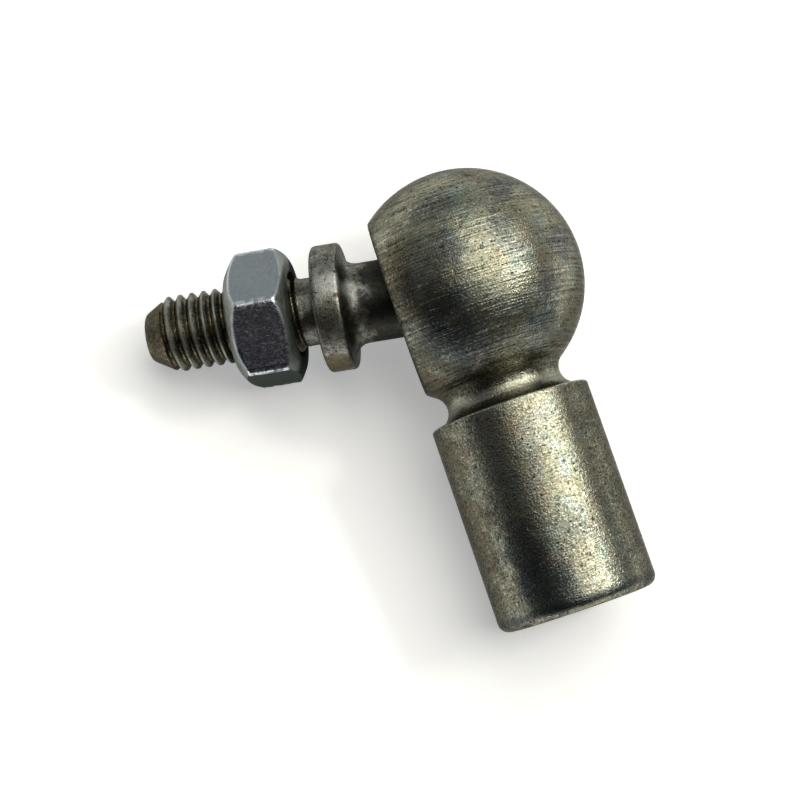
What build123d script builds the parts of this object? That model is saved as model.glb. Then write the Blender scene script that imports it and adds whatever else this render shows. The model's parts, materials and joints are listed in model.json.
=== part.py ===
from build123d import *
import os
from math import asin, atan2, ceil, cos, degrees, hypot, pi, radians, sqrt, tan

# Angle ball joint, lying at rest on three points: the head, the rim of the shank's end and one corner
# of the nut. Millimetres and degrees, +Z up, with the origin on the floor under the middle of the part.
# The shank points towards -Y and the mouth of the socket towards -X.

# Ball stud, with lengths along its axis from the centre of the ball
ball_d = 16.0
neck_d = 8.4
neck_root_round = 0.8
neck_collar_round = 1.5
collar_d = 13.3
collar_thickness = 2.9
collar_edge_round = 0.4
seat_distance = 15.4
thread_d = 8.0
thread_length = 18.4
thread_pitch = 1.25
thread_crest_width = 0.2
thread_plain_start = 0.45
groove_depth = 0.55
groove_floor_width = 0.16
groove_overrun = 0.14
relief_d = 7.1
relief_length = 1.5
relief_root_round = 0.5
tip_d = 4.9
tip_cone_length = 2.6
tip_edge_round = 0.4

# Hexagon nut
nut_across_flats = 13.0
nut_height = 6.6
nut_face_d = 10.4
nut_chamfer_angle = 32.0
nut_countersink = 0.5
nut_gap = 2.65
nut_turn = -3.0

# Ball socket, with lengths from the centre of the ball
head_d = 24.2
mouth_distance = 7.7
mouth_edge_round = 0.35
shank_d = 16.75
shank_top_distance = 13.25
shank_end_distance = 35.0
shank_top_round = 0.3
shank_end_round = 1.1
shoulder_width = 0.5
screw_hole_d = 8.5
screw_hole_depth = 17.0
screw_hole_mouth_d = 10.4
drill_point_angle = 118.0
cup_lead_in = 0.4

# Snap ring that holds the ball in the cup
ring_wire_d = 1.5
ring_middle_d = 15.7
ring_open_width = 5.0

# Clearances, all on the radius
ball_clearance = 0.05
ring_clearance = 0.08
nut_clearance = 0.05

# How the joint lies: the mouth looks down by one angle, and seen from above the stud swings away from
# the shank by the other
mouth_dip = 10.5
stud_swing = 12.0

# Sizes that follow
ball_r = ball_d / 2
cup_r = ball_r + ball_clearance
head_r = head_d / 2
shank_r = shank_d / 2
wire_r = ring_wire_d / 2
ring_middle_r = ring_middle_d / 2
collar_start = seat_distance - collar_thickness
stud_end = seat_distance + thread_length
relief_end = seat_distance + relief_length
thread_start = relief_end + (thread_d - relief_d) / 2
tip_cone_start = stud_end - tip_cone_length
groove_start = thread_start + thread_plain_start
groove_turns = ceil((tip_cone_start - groove_start) / thread_pitch) + 2
nut_start = seat_distance + nut_gap
nut_end = nut_start + nut_height
nut_corner_r = nut_across_flats / 2 / cos(pi / 6)
nut_corner_inset = (nut_corner_r - nut_face_d / 2) * tan(radians(nut_chamfer_angle))

# The ring lies round the outer half of the ball, one clearance away from it
ring_height = sqrt((ball_r + wire_r + ball_clearance) ** 2 - ring_middle_r ** 2)

# A round groove runs from the head, which it touches without a step, to the shank's flat shoulder
groove_middle_r = shank_r - shoulder_width
groove_round = (groove_middle_r ** 2 + shank_top_distance ** 2 - head_r ** 2) / 2 / (shank_top_distance + head_r)
groove_middle_distance = shank_top_distance - groove_round


def bar(radius, low, high):
    """Half section of a round bar about the Y axis of the sketch."""
    return Pos(radius / 2, (low + high) / 2) * Rectangle(radius, high - low)


def cone(low_radius, high_radius, low, high):
    """Half section of a cone about the Y axis of the sketch."""
    outline = [(0, low), (low_radius, low), (high_radius, high)]
    if high_radius > 0:
        outline.append((0, high))
    return make_face(Polyline(outline, close=True))


def half_disc(radius):
    """Half section of a ball about the Y axis of the sketch."""
    return Circle(radius) & Pos(radius, 0) * Rectangle(2 * radius, 2 * radius)


def corner(section, radius, height):
    """The corner of a half section nearest to a radius and a height."""
    return section.vertices().sort_by_distance((radius, height, 0))[0]


def turned(section):
    """A half section turned about its own axis, which becomes +Z."""
    return revolve(Plane.XZ * section, Axis.Z)


def make_groove_turn():
    """One turn of the helical groove that cuts the right-hand thread, starting at the angle of +X."""
    path = Pos(0, 0, groove_start) * Helix(pitch=thread_pitch, height=thread_pitch, radius=thread_d / 2 - groove_depth)
    low_half = groove_floor_width / 2
    top_half = (thread_pitch - thread_crest_width) / 2
    mouth_half = top_half + groove_overrun * (top_half - low_half) / groove_depth
    mouth_depth = groove_depth + groove_overrun
    outline = [(0, -low_half), (mouth_depth, -mouth_half), (mouth_depth, mouth_half), (0, low_half)]
    start = Plane(origin=path @ 0, x_dir=(1, 0, 0), z_dir=path % 0)
    return sweep(start * make_face(Polyline(outline, close=True)), path=path, is_frenet=True)


def make_stud():
    """Ball, waisted neck, collar and screw end in one piece, pointing along +Z."""
    section = half_disc(ball_r) + bar(neck_d / 2, 0, seat_distance)
    section += bar(collar_d / 2, collar_start, seat_distance)
    section += bar(relief_d / 2, seat_distance, relief_end)
    section += cone(relief_d / 2, thread_d / 2, relief_end, thread_start)
    section += bar(thread_d / 2, thread_start, tip_cone_start)
    section += cone(thread_d / 2, tip_d / 2, tip_cone_start, stud_end)
    ball_top = sqrt(ball_r ** 2 - (neck_d / 2) ** 2)
    section = fillet(corner(section, neck_d / 2, ball_top), neck_root_round)
    section = fillet(corner(section, neck_d / 2, collar_start), neck_collar_round)
    section = fillet(corner(section, collar_d / 2, collar_start), collar_edge_round)
    section = fillet(corner(section, collar_d / 2, seat_distance), collar_edge_round)
    section = fillet(corner(section, relief_d / 2, seat_distance), relief_root_round)
    section = fillet(corner(section, tip_d / 2, stud_end), tip_edge_round)
    groove_turn = make_groove_turn()
    return turned(section) - [Pos(0, 0, turn * thread_pitch) * groove_turn for turn in range(groove_turns)]


def make_nut():
    """Hexagon nut about +Z with one corner near +X, chamfered and countersunk on both faces."""
    hexagon = RegularPolygon(nut_across_flats / 2, 6, major_radius=False, rotation=nut_turn)
    block = Pos(0, 0, nut_start) * extrude(hexagon, nut_height)
    face_r = nut_face_d / 2
    blank = bar(nut_corner_r, nut_start + nut_corner_inset, nut_end - nut_corner_inset)
    blank += cone(face_r, nut_corner_r, nut_start, nut_start + nut_corner_inset)
    blank += cone(nut_corner_r, face_r, nut_end - nut_corner_inset, nut_end)
    bore_r = thread_d / 2 + nut_clearance
    bore = bar(bore_r, nut_start, nut_end)
    bore += cone(bore_r + nut_countersink, bore_r, nut_start, nut_start + nut_countersink)
    bore += cone(bore_r, bore_r + nut_countersink, nut_end - nut_countersink, nut_end)
    return (block & turned(blank)) - turned(bore)


def make_ring():
    """Open wire ring about +Z, at its height above the centre of the ball."""
    open_angle = degrees(2 * asin(ring_open_width / 2 / ring_middle_r))
    centre_line = CenterArc((0, 0, ring_height), ring_middle_r, open_angle / 2, 360 - open_angle)
    wire_section = Plane(origin=centre_line @ 0, z_dir=centre_line % 0) * Circle(wire_r)
    return sweep(wire_section, path=centre_line)


def make_screw_hole():
    """Tap hole with a drilled point and a chamfered mouth, opening at the shank's end (-Z)."""
    hole_r = screw_hole_d / 2
    mouth_r = screw_hole_mouth_d / 2
    floor = screw_hole_depth - shank_end_distance
    point = hole_r / tan(radians(drill_point_angle / 2))
    hole = bar(hole_r, -shank_end_distance, floor)
    hole += cone(hole_r, 0, floor, floor + point)
    hole += cone(mouth_r, hole_r, -shank_end_distance, -shank_end_distance + mouth_r - hole_r)
    return turned(hole)


def make_cup():
    """Hollow of the socket about +Z: round bottom, straight wall, snap ring groove and lead-in."""
    hollow = half_disc(cup_r) + bar(cup_r, 0, mouth_distance)
    lead_in_start = mouth_distance - cup_lead_in
    hollow += cone(cup_r, cup_r + cup_lead_in, lead_in_start, mouth_distance)
    hollow += Pos(ring_middle_r, ring_height) * Circle(wire_r + ring_clearance)
    return turned(hollow)


def make_head():
    """Ball with a flat mouth face across +Z and a rounded rim."""
    section = half_disc(head_r) - bar(head_d, mouth_distance, head_d)
    return turned(fillet(corner(section, head_r, mouth_distance), mouth_edge_round))


def make_shank():
    """Shank along -Z, with the groove below the head and a root inside the head."""
    blend_angle = degrees(atan2(groove_middle_distance, groove_middle_r))
    groove = CenterArc((groove_middle_r, -groove_middle_distance), groove_round, 180 - blend_angle, 90 + blend_angle)
    sides = Polyline(
        groove @ 1,
        (shank_r, -shank_top_distance),
        (shank_r, -shank_end_distance),
        (0, -shank_end_distance),
        (0, 0),
        groove @ 0,
    )
    section = make_face(groove + sides)
    section = fillet(corner(section, shank_r, -shank_top_distance), shank_top_round)
    section = fillet(corner(section, shank_r, -shank_end_distance), shank_end_round)
    return turned(section)


def make_socket():
    """Head, groove and shank in one turned piece, with the shank along -Y and the cup's mouth along +Z."""
    shank_axis = Plane(origin=(0, 0, 0), x_dir=(1, 0, 0), z_dir=(0, 1, 0))
    outside = make_head() + shank_axis * make_shank()
    return outside - make_cup() - shank_axis * make_screw_hole()


def touch_angle(reach, radius, edge_round):
    """How far an axis through the centre of the head dips until a round edge out on it meets the floor."""
    side = radius - edge_round
    return degrees(asin((head_r - edge_round) / hypot(reach, side)) - atan2(side, reach))


shank_dip = touch_angle(shank_end_distance - shank_end_round, shank_r, shank_end_round)
stud_dip = touch_angle(nut_end - nut_corner_inset, nut_corner_r * cos(radians(nut_turn)), 0)

# The socket's own frame: shank along -Y, dipping to the floor, and the mouth turned to -X and down
socket_frame = Pos(0, 0, head_r) * Rot(shank_dip, 0, 0) * Rot(0, -90 - mouth_dip, 0)

# The stud's own frame: +Z out along the stud, +X up across it, so that a nut corner points down
stud_frame = Pos(0, 0, head_r) * Rot(0, 0, -stud_swing) * Rot(0, -90 - stud_dip, 0)

pieces = {
    "ball_socket": socket_frame * make_socket(),
    "snap_ring": socket_frame * make_ring(),
    "ball_stud": stud_frame * make_stud(),
    "hex_nut": stud_frame * make_nut(),
}

# The origin moves to the middle of the footprint
boxes = [piece.bounding_box() for piece in pieces.values()]
middle_x = (min(box.min.X for box in boxes) + max(box.max.X for box in boxes)) / 2
middle_y = (min(box.min.Y for box in boxes) + max(box.max.Y for box in boxes)) / 2
to_origin = Pos(-middle_x, -middle_y, 0)

os.makedirs("parts", exist_ok=True)
for name, piece in pieces.items():
    export_step(to_origin * piece, f"parts/{name}.step")
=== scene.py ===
import bpy
import bmesh
from math import atan2, cos, degrees, floor, hypot, pi, radians, sin, sqrt, tan
from mathutils import Matrix, Vector, noise
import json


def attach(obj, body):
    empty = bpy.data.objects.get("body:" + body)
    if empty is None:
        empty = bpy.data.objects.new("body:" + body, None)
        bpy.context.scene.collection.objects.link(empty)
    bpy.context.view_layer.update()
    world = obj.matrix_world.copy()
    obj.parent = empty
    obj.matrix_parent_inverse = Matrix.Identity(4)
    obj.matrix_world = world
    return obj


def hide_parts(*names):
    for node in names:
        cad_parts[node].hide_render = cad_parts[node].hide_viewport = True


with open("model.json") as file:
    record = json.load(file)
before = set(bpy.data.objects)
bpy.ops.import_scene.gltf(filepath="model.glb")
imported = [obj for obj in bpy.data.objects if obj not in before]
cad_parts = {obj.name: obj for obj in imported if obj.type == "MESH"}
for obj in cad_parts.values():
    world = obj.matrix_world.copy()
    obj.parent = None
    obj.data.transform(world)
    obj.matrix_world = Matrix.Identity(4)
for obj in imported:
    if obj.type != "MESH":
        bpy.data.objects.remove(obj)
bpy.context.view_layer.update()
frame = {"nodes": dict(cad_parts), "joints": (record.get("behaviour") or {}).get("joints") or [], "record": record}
scene = bpy.context.scene
joints = {joint["name"]: joint for joint in frame["joints"]}
mounts = {mount["name"]: mount for mount in frame["record"]["mounts"]}

# Shapes are drawn in millimetres in a frame of their own and placed in the part's frame, in metres, at the end
mm = 0.001
meshSizes = {
    "same": 1e-4,  # points nearer than this are one point
    "sameOnThread": 2e-4,
    "sameOnPiece": 5e-4,
    "onPlane": 1e-3,  # points nearer than this to a plane or a ball lie on it
    "onBall": 2e-3,
    "nearBall": 0.01,
    "sharpTurn": radians(34),  # edges that turn by more than this stay sharp
    "roundSegments": 5,
}
ballCentre = Vector(joints["stud_swivel"]["pos_m"])
mouthAxis = Vector(joints["stud_swivel"]["axis"]).normalized()
shankAxis = Vector(mounts["shank_end"]["axis"]).normalized()
studAxis = Vector(joints["nut_travel"]["axis"]).normalized()


def placeFrame(zAxis, xAxis):  # local Z along one direction, local X as near as it can be to another
    z = zAxis.normalized()
    x = (xAxis - z * xAxis.dot(z)).normalized()
    turn = Matrix((x, z.cross(x), z)).transposed().to_4x4()
    return Matrix.Translation(ballCentre) @ turn @ Matrix.Scale(mm, 4)


socketFrame = placeFrame(shankAxis, mouthAxis)  # Z out along the shank, X out of the mouth
studFrame = placeFrame(studAxis, Vector((0, 0, 1)))  # Z out along the stud, X up to a corner of the nut


def drawProfile(bm, strokes):
    # Half section in the XZ plane, with the radius along X. A "to" stroke is radius, height, round, cuts, and
    # an "arc" stroke is the centre's radius and height, the turn in degrees and its steps.
    oldVerts = set(bm.verts)
    last = None
    rounds = []
    for kind, *numbers in strokes:
        if kind == "arc":
            centreR, centreH, turn, steps = numbers
            arc = bmesh.ops.spin(bm, geom=[last], cent=(centreR, 0, centreH), axis=(0, -1, 0),
                                 angle=radians(turn), steps=steps)
            last = [part for part in arc["geom_last"] if isinstance(part, bmesh.types.BMVert)][0]
            continue
        radius, height, *extra = numbers
        point = bm.verts.new((radius, 0, height))
        if last:
            bm.edges.new((last, point))
        last = point
        if extra and extra[0]:
            rounds.append((point, extra[0]))
    for point, roundRadius in rounds:
        arms = [edge.other_vert(point).co - point.co for edge in point.link_edges]
        offset = roundRadius / tan(arms[0].angle(arms[1]) / 2)
        bmesh.ops.bevel(bm, geom=[point], offset=offset, offset_type="OFFSET", profile=0.5, affect="VERTICES",
                        segments=meshSizes["roundSegments"], material=-1)
    return [vert for vert in bm.verts if vert not in oldVerts]


def wireOf(verts):
    edges = {edge for vert in verts for edge in vert.link_edges}
    return list(verts) + list(edges)


def refineWire(bm, verts, longest):  # cuts the long straight runs of a wire
    edges = {edge for vert in verts for edge in vert.link_edges}
    for edge in list(edges):
        cuts = int(edge.calc_length() / longest)
        if cuts:
            bmesh.ops.subdivide_edges(bm, edges=[edge], cuts=cuts)


def turnProfile(bm, strokes, steps, longest=0):
    oldVerts = set(bm.verts)
    verts = drawProfile(bm, strokes)
    if longest:
        refineWire(bm, verts, longest)
        verts = [vert for vert in bm.verts if vert not in oldVerts]
    bmesh.ops.spin(bm, geom=wireOf(verts), cent=(0, 0, 0), axis=(0, 0, 1), angle=2 * pi, steps=steps,
                   use_merge=True)
    verts = [vert for vert in bm.verts if vert not in oldVerts]
    bmesh.ops.remove_doubles(bm, verts=verts, dist=meshSizes["same"])
    return [vert for vert in bm.verts if vert not in oldVerts]


def addTo(bm, part):  # joins a finished part to the rest and returns its points
    firstNew = len(bm.verts)
    mesh = bpy.data.meshes.new("part")
    part.to_mesh(mesh)
    part.free()
    bm.from_mesh(mesh)
    bpy.data.meshes.remove(mesh)
    bm.verts.ensure_lookup_table()
    return bm.verts[firstNew:]


def cutThread(bm, groove, pitch, low, high, phase, steps, radiusAt):
    # One turn of the thread is spun as a helix and repeated past both ends. Each point then goes to the
    # radius that the thread and the blank leave there, and the points past an end close onto that end.
    # The groove is a list of places along one pitch, from 0 to 1.
    part = bmesh.new()
    start = low - pitch * (1 + phase)
    wire = [part.verts.new((1, 0, start + pitch * at)) for at in groove]
    for first, second in zip(wire, wire[1:]):
        part.edges.new((first, second))
    bmesh.ops.spin(part, geom=wireOf(wire), cent=(0, 0, 0), axis=(0, 0, 1), dvec=(0, 0, pitch / steps),
                   angle=2 * pi, steps=steps)
    oneTurn = part.verts[:] + part.edges[:] + part.faces[:]
    for turn in range(1, int((high - low) / pitch) + 3):
        copied = bmesh.ops.duplicate(part, geom=oneTurn)
        copiedVerts = [item for item in copied["geom"] if isinstance(item, bmesh.types.BMVert)]
        bmesh.ops.translate(part, verts=copiedVerts, vec=(0, 0, pitch * turn))
    bmesh.ops.remove_doubles(part, verts=part.verts, dist=meshSizes["same"])
    for vert in part.verts:
        around = atan2(vert.co.y, vert.co.x) / (2 * pi)
        along = (vert.co.z - start) / pitch - around
        height = min(max(vert.co.z, low), high)
        radius = radiusAt(along - floor(along + 1e-5), height, around)
        vert.co.x, vert.co.y = radius * cos(2 * pi * around), radius * sin(2 * pi * around)
        vert.co.z = height
    bmesh.ops.remove_doubles(part, verts=part.verts, dist=meshSizes["sameOnThread"])
    bmesh.ops.dissolve_degenerate(part, dist=meshSizes["same"], edges=part.edges)
    return addTo(bm, part)


def finishPiece(bm, name, place, body, node, material, ballRadius=0):
    m = meshSizes
    bmesh.ops.remove_doubles(bm, verts=bm.verts, dist=m["sameOnPiece"])
    bmesh.ops.recalc_face_normals(bm, faces=bm.faces)
    for edge in bm.edges:
        edge.smooth = not edge.is_manifold or edge.calc_face_angle(0) < m["sharpTurn"]
    for face in bm.faces:
        face.smooth = True
    onBall = [abs(vert.co.length - ballRadius) < m["onBall"] for vert in bm.verts]
    bmesh.ops.transform(bm, matrix=place, verts=bm.verts)
    openEdges = sum(not edge.is_manifold for edge in bm.edges)
    mesh = bpy.data.meshes.new(name)
    bm.to_mesh(mesh)
    bm.free()
    if ballRadius:  # exact normals where the surface is part of a ball
        mesh.normals_split_custom_set_from_vertices([
            (vert.co - ballCentre).normalized() if flag else Vector((0, 0, 0))
            for vert, flag in zip(mesh.vertices, onBall)])
    piece = bpy.data.objects.new(name, mesh)
    scene.collection.objects.link(piece)
    mesh.materials.append(material)
    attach(piece, body)
    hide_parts(node)
    print(name, "points", len(mesh.vertices), "faces", len(mesh.polygons), "open edges", openEdges)
    return piece


socketSizes = {
    "headRound": 12.1,
    "mouthHeight": 7.7,
    "mouthRound": 0.35,
    "shankRound": 8.375,
    "shankTop": 13.25,
    "shankEnd": 35.0,
    "topRound": 0.3,
    "endRound": 1.1,
    "shoulder": 0.5,
    "headSkin": 0.1,  # how near the ball and how far under the groove the faces to cut lie
    "underGroove": 1.6,
    "cutTurn": 2.4,  # degrees from the rim's round to the cut
    "rimGap": 0.06,
    "cupRound": 8.05,
    "leadIn": 0.4,
    "leadInEdge": 0.05,
    "ringRound": 7.85,
    "ringWire": 0.75,
    "ringGroove": 0.83,
    "holeRound": 4.25,
    "holeMouth": 5.2,
    "holeDepth": 17.0,
    "drillHalfAngle": 59,
    "threadRound": 5.0,
    "threadPitch": 1.5,
    "threadEnd": 20.0,
    "crestFlat": 0.125,
    "threadFull": 0.87,
    "steps": 160,
    "longest": 1.0,
}


def makeSocket(material):
    s, m = socketSizes, meshSizes
    bm = bmesh.new()
    # Head, groove and shank, turned about the shank's axis
    grooveMiddleR = s["shankRound"] - s["shoulder"]
    grooveRound = (grooveMiddleR ** 2 + s["shankTop"] ** 2 - s["headRound"] ** 2) / 2
    grooveRound = grooveRound / (s["shankTop"] + s["headRound"])
    grooveHeight = s["shankTop"] - grooveRound
    blend = degrees(atan2(grooveHeight, grooveMiddleR))
    turnProfile(bm, [
        ("to", 0, -s["headRound"]),
        ("arc", 0, 0, 90 + blend, 100),
        ("arc", grooveMiddleR, grooveHeight, -90 - blend, 28),
        ("to", s["shankRound"], s["shankTop"], s["topRound"]),
        ("to", s["shankRound"], s["shankEnd"], s["endRound"]),
        ("to", s["holeMouth"], s["shankEnd"]),
    ], s["steps"], s["longest"])
    # The mouth is cut where its rim, turned about the other axis, can be joined on
    rimCentreR = sqrt((s["headRound"] - s["mouthRound"]) ** 2 - (s["mouthHeight"] - s["mouthRound"]) ** 2)
    rimAngle = degrees(atan2(s["mouthHeight"] - s["mouthRound"], rimCentreR))
    cutAngle = radians(rimAngle - s["cutTurn"])
    cutHeight, cutRadius = s["headRound"] * sin(cutAngle), s["headRound"] * cos(cutAngle)
    headFaces = [face for face in bm.faces if face.calc_center_median().length > s["headRound"] - s["headSkin"]
                 and face.calc_center_median().z < grooveHeight - s["underGroove"]]
    headVerts = {vert for face in headFaces for vert in face.verts}
    headEdges = {edge for face in headFaces for edge in face.edges}
    cut = bmesh.ops.bisect_plane(bm, geom=list(headVerts) + list(headEdges) + headFaces, dist=m["same"],
                                 plane_co=(cutHeight, 0, 0), plane_no=(1, 0, 0), clear_outer=True)
    cutEdges = [part for part in cut["geom_cut"] if isinstance(part, bmesh.types.BMEdge)]
    cutVerts = {vert for edge in cutEdges for vert in edge.verts}
    for vert in cutVerts:
        away = cutRadius / hypot(vert.co.y, vert.co.z)
        vert.co = (cutHeight, vert.co.y * away, vert.co.z * away)
    bmesh.ops.remove_doubles(bm, verts=list(cutVerts), dist=s["rimGap"])
    rimLoop = [edge for edge in bm.edges if edge.is_boundary
               and all(abs(vert.co.x - cutHeight) < m["onPlane"] for vert in edge.verts)
               and all(abs(vert.co.length - s["headRound"]) < m["nearBall"] for vert in edge.verts)]
    # Cup, snap ring groove, lead-in, mouth face and rim, turned about the mouth's axis
    ringHeight = sqrt((s["cupRound"] + s["ringWire"]) ** 2 - s["ringRound"] ** 2)
    grooveHalf = sqrt(s["ringGroove"] ** 2 - (s["cupRound"] - s["ringRound"]) ** 2)
    grooveAngle = degrees(atan2(grooveHalf, s["cupRound"] - s["ringRound"]))
    cupVerts = turnProfile(bm, [
        ("to", 0, -s["cupRound"]),
        ("arc", 0, 0, 90, 40),
        ("to", s["cupRound"], ringHeight - grooveHalf),
        ("arc", s["ringRound"], ringHeight, 2 * grooveAngle, 12),
        ("to", s["cupRound"], s["mouthHeight"] - s["leadIn"]),
        ("to", s["cupRound"] + s["leadIn"], s["mouthHeight"], s["leadInEdge"]),
        ("to", rimCentreR, s["mouthHeight"]),
        ("arc", rimCentreR, s["mouthHeight"] - s["mouthRound"], rimAngle - 90, 6),
        ("arc", 0, 0, -s["cutTurn"] / 2, 2),
    ], s["steps"])
    bmesh.ops.rotate(bm, verts=cupVerts, cent=(0, 0, 0), matrix=Matrix.Rotation(pi / 2, 3, "Y"))
    cupRim = [edge for edge in bm.edges if edge.is_boundary and edge.verts[0].co.x > cutHeight + m["onPlane"]
              and abs(edge.verts[0].co.length - s["headRound"]) < m["nearBall"]]
    bmesh.ops.bridge_loops(bm, edges=rimLoop + cupRim)
    # Screw thread, drilled hole and its point
    holeFloor = s["shankEnd"] - s["holeDepth"]

    def holeRadius(along, height, around):
        depth = 1 - abs(2 * along - 1) / (1 - s["crestFlat"])  # from 0 at the crest to 1 at the root
        depth = min(max(depth, 0), s["threadFull"]) / s["threadFull"]
        fade = min(max((height - s["threadEnd"]) / s["threadPitch"], 0), 1)
        chamfer = s["holeMouth"] - (s["shankEnd"] - height)
        return max(s["holeRound"] + depth * fade * (s["threadRound"] - s["holeRound"]), chamfer)

    grooveAt = (0, 0.0625, 0.2, 0.35, 0.443, 0.557, 0.65, 0.8, 0.9375, 1)
    cutThread(bm, grooveAt, s["threadPitch"], s["threadEnd"], s["shankEnd"], 0, s["steps"], holeRadius)
    turnProfile(bm, [
        ("to", s["holeRound"], s["threadEnd"]),
        ("to", s["holeRound"], holeFloor),
        ("to", 0, holeFloor - s["holeRound"] / tan(radians(s["drillHalfAngle"]))),
    ], s["steps"])
    return finishPiece(bm, "ballSocket", socketFrame, "socket", "ball_socket", material,
                       s["headRound"])


studSizes = {
    "ballRound": 8.0,
    "neckRound": 4.2,
    "neckRootRound": 0.8,
    "collarStart": 12.5,
    "neckCollarRound": 1.5,
    "collarRound": 6.65,
    "collarEdge": 0.4,
    "seat": 15.4,
    "reliefRound": 3.55,
    "reliefRootRound": 0.5,
    "reliefEnd": 16.9,
    "threadRunIn": 1.2,
    "threadRound": 4.0,
    "threadRootRound": 3.45,
    "pitch": 1.25,
    "nickDepth": 0.05,
    "nicksAround": 4,
    "nicksAlong": 1.6,
    "coneStart": 31.2,
    "tipRound": 2.45,
    "tipEdge": 0.4,
    "tipEdgeDepth": 0.6,
    "studEnd": 33.8,
    "phase": 0.28,
    "steps": 128,
    "longest": 0.5,
}
threadForm = {"crest": 0.16, "flank": 0.66, "crestRoll": 0.05, "flankHollow": 0.02}


def threadDepth(along):  # from 0 at the worn crest in the middle of a pitch to 1 at the root
    t = threadForm
    flank = (abs(2 * along - 1) - t["crest"]) / t["flank"]
    flank = min(max(flank, 0), 1)
    rolled = t["crestRoll"] * sin(2 * pi * flank) * (1 - flank)
    return flank + rolled - t["flankHollow"] * sin(pi * flank)


def makeStud(material):
    s = studSizes
    bm = bmesh.new()
    rootCentreR = s["neckRound"] + s["neckRootRound"]
    rootCentreH = sqrt((s["ballRound"] + s["neckRootRound"]) ** 2 - rootCentreR ** 2)
    blend = degrees(atan2(rootCentreH, rootCentreR))
    turnProfile(bm, [
        ("to", 0, -s["ballRound"]),
        ("arc", 0, 0, 90 + blend, 72),
        ("arc", rootCentreR, rootCentreH, -blend, 8),
        ("to", s["neckRound"], s["collarStart"], s["neckCollarRound"]),
        ("to", s["collarRound"], s["collarStart"], s["collarEdge"]),
        ("to", s["collarRound"], s["seat"], s["collarEdge"]),
        ("to", s["reliefRound"], s["seat"], s["reliefRootRound"]),
        ("to", s["reliefRound"], s["reliefEnd"]),
    ], s["steps"], s["longest"])
    slope = (s["threadRound"] - s["tipRound"]) / (s["studEnd"] - s["coneStart"])

    def studRadius(along, height, around):
        fade = min(max((height - s["reliefEnd"]) / s["threadRunIn"], 0), 1)
        nickX, nickY = s["nicksAround"] * cos(2 * pi * around), s["nicksAround"] * sin(2 * pi * around)
        nick = noise.noise(Vector((nickX, nickY, height * s["nicksAlong"])))
        crest = s["threadRound"] - s["nickDepth"] * max(nick, 0)
        root = s["threadRootRound"] + (s["reliefRound"] - s["threadRootRound"]) * (1 - fade)
        thread = root + (crest - root) * (1 - threadDepth(along)) * fade
        cone = s["threadRound"] - max(height - s["coneStart"], 0) * slope
        relief = s["reliefRound"] + max(height - s["reliefEnd"], 0)
        fromEnd = max(s["tipEdge"] - (s["studEnd"] - height), 0)
        tip = cone - (s["tipEdge"] - sqrt(max(s["tipEdge"] ** 2 - fromEnd ** 2, 0))) * s["tipEdgeDepth"]
        return min(thread, tip, relief)

    rootToCrest = (0, 0.06, 0.12, 0.19, 0.26, 0.33, 0.39, 0.43, 0.47)
    crestToRoot = (0.5, 0.53, 0.57, 0.61, 0.67, 0.74, 0.81, 0.88, 0.94, 1)
    cutThread(bm, rootToCrest + crestToRoot, s["pitch"], s["reliefEnd"], s["studEnd"], s["phase"], s["steps"],
              studRadius)
    tipEdges = [edge for edge in bm.edges
                if edge.is_boundary and edge.verts[0].co.z > s["studEnd"] - meshSizes["onPlane"]]
    bmesh.ops.holes_fill(bm, edges=tipEdges, sides=0)
    return finishPiece(bm, "ballStud", studFrame, "stud", "ball_stud", material)


nutSizes = {
    "flatRound": 6.5,
    "faceRound": 5.2,
    "turn": -3.0,
    "start": 18.05,
    "height": 6.6,
    # Each end's round and how deep its chamfer reaches on a flat and at a corner, collar end first
    "endRound": (5.75, 5.2),
    "flatCut": (0.42, 0.80),
    "cornerCut": (0.62, 0.80),
    "cornerSpread": 2.5,
    "swell": 0.85,
    "cornerEase": 0.3,
    "chamferEase": 0.3,
    "easeRise": 0.2,
    "countersink": 4.55,
    "threadGap": 0.06,
    "steps": 384,
    "boreSteps": 128,
    "longest": 0.09,
}


def easedMin(first, second, ease):  # the smaller of two radii, rounded over where they meet
    blend = max(ease - abs(first - second), 0) / ease
    return min(first, second) - blend * blend * ease / 4


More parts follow.
